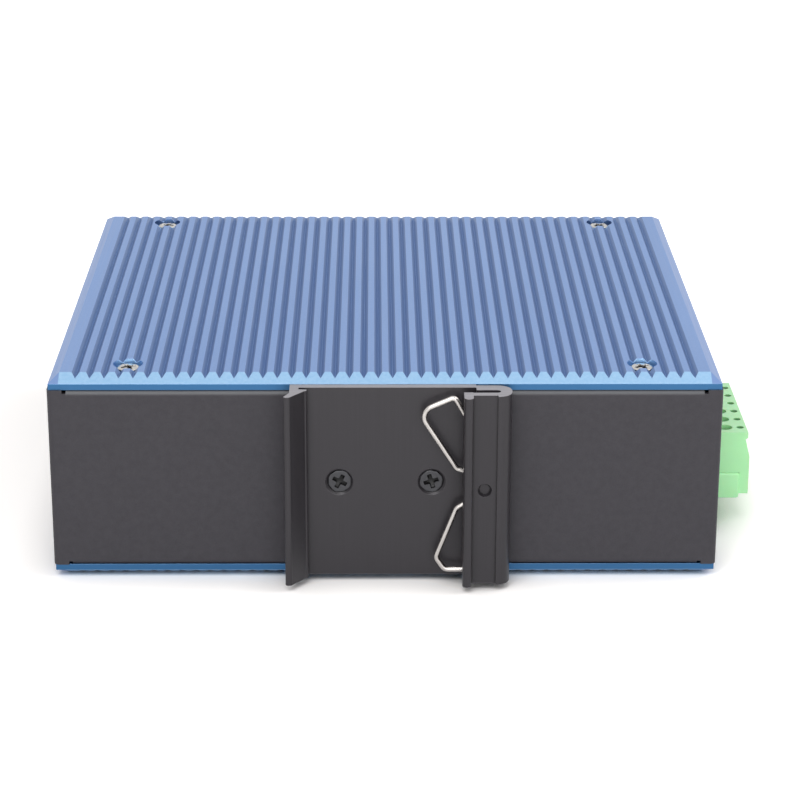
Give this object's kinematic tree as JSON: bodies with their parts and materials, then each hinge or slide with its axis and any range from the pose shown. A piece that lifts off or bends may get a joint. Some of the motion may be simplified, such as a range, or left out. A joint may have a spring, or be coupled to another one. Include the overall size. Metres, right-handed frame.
{
  "type": "din rail ethernet switch",
  "caption": "Fanless ethernet switch for 35 mm rail: finned covers, folded sheet chassis, extruded rail clip with wire spring, pluggable screw terminal.",
  "frame": {"origin": "centre of the clip face that the 35 mm rail seats on, midway along the clip", "axes": "+X along the long side of the housing towards the terminal, +Y from the rail into the housing, +Z through the housing's thickness"},
  "size_m": [0.1492, 0.1328, 0.0442],
  "materials": {
    "cover_blue": "blue anodised, satin, extruded grooves along the depth",
    "sheet_black": "charcoal powder coat, fine texture",
    "clip_black": "black anodised extrusion, lighter saw-cut ends",
    "screw_bright": "nickel plated steel",
    "screw_black": "black oxide steel",
    "spring_wire": "nickel plated spring wire",
    "nut_steel": "zinc plated steel",
    "board": "green solder mask on glass laminate",
    "shield": "tinned sheet",
    "black_moulding": "black glass-filled moulding",
    "gold_contact": "gold plated",
    "tin_contact": "tinned copper alloy",
    "terminal_green": "pale green moulding",
    "chip": "moulded package",
    "pad": "soft silicone pad",
    "can": "aluminium can",
    "ferrite": "ferrite and resin",
    "clear": "clear moulding"
  },
  "bodies": {
    "housing": {"finned_cover_upper": "cover_blue", "finned_cover_lower": "cover_blue", "chassis": "sheet_black", "front_panel": "sheet_black", "cover_screws_upper": "screw_bright", "cover_screws_lower": "screw_bright", "cover_nuts_upper": "nut_steel", "cover_nuts_lower": "nut_steel", "front_panel_screws": "screw_black", "front_panel_nuts": "nut_steel", "din_clip": "clip_black", "clip_screws": "screw_black", "clip_nuts": "nut_steel", "ground_screw": "screw_bright", "ground_washer": "nut_steel", "ground_nut": "nut_steel", "circuit_board": "board", "board_standoffs": "nut_steel", "board_screws": "screw_bright", "jack_shield": "shield", "jack_housing": "black_moulding", "jack_contacts": "gold_contact", "sfp_cage_left": "shield", "sfp_cage_right": "shield", "sfp_connector_left": "black_moulding", "sfp_connector_right": "black_moulding", "switch_chip": "chip", "thermal_pad": "pad", "magnetics_1": "black_moulding", "magnetics_2": "black_moulding", "magnetics_3": "black_moulding", "magnetics_4": "black_moulding", "power_inductor": "ferrite", "capacitor_left": "can", "capacitor_right": "can", "led_power": "clear", "led_run": "clear", "led_fault": "clear", "light_pipe": "clear", "terminal_header": "terminal_green", "header_pins": "tin_contact"},
    "spring": {"rail_spring": "spring_wire"},
    "plug": {"terminal_plug": "terminal_green", "plug_screws": "screw_bright", "plug_cages": "tin_contact", "plug_sockets": "tin_contact"}
  },
  "joints": [
    {"name": "spring_rock", "type": "hinge", "parent": "housing", "child": "spring", "pos_m": [0.0202, -0.00238, 0], "axis": [0, 1, 0], "range_deg": [0, 6]},
    {"name": "plug_slide", "type": "slide", "parent": "housing", "child": "plug", "axis": [1, 0, 0], "range_m": [0, 0.014]}
  ]
}
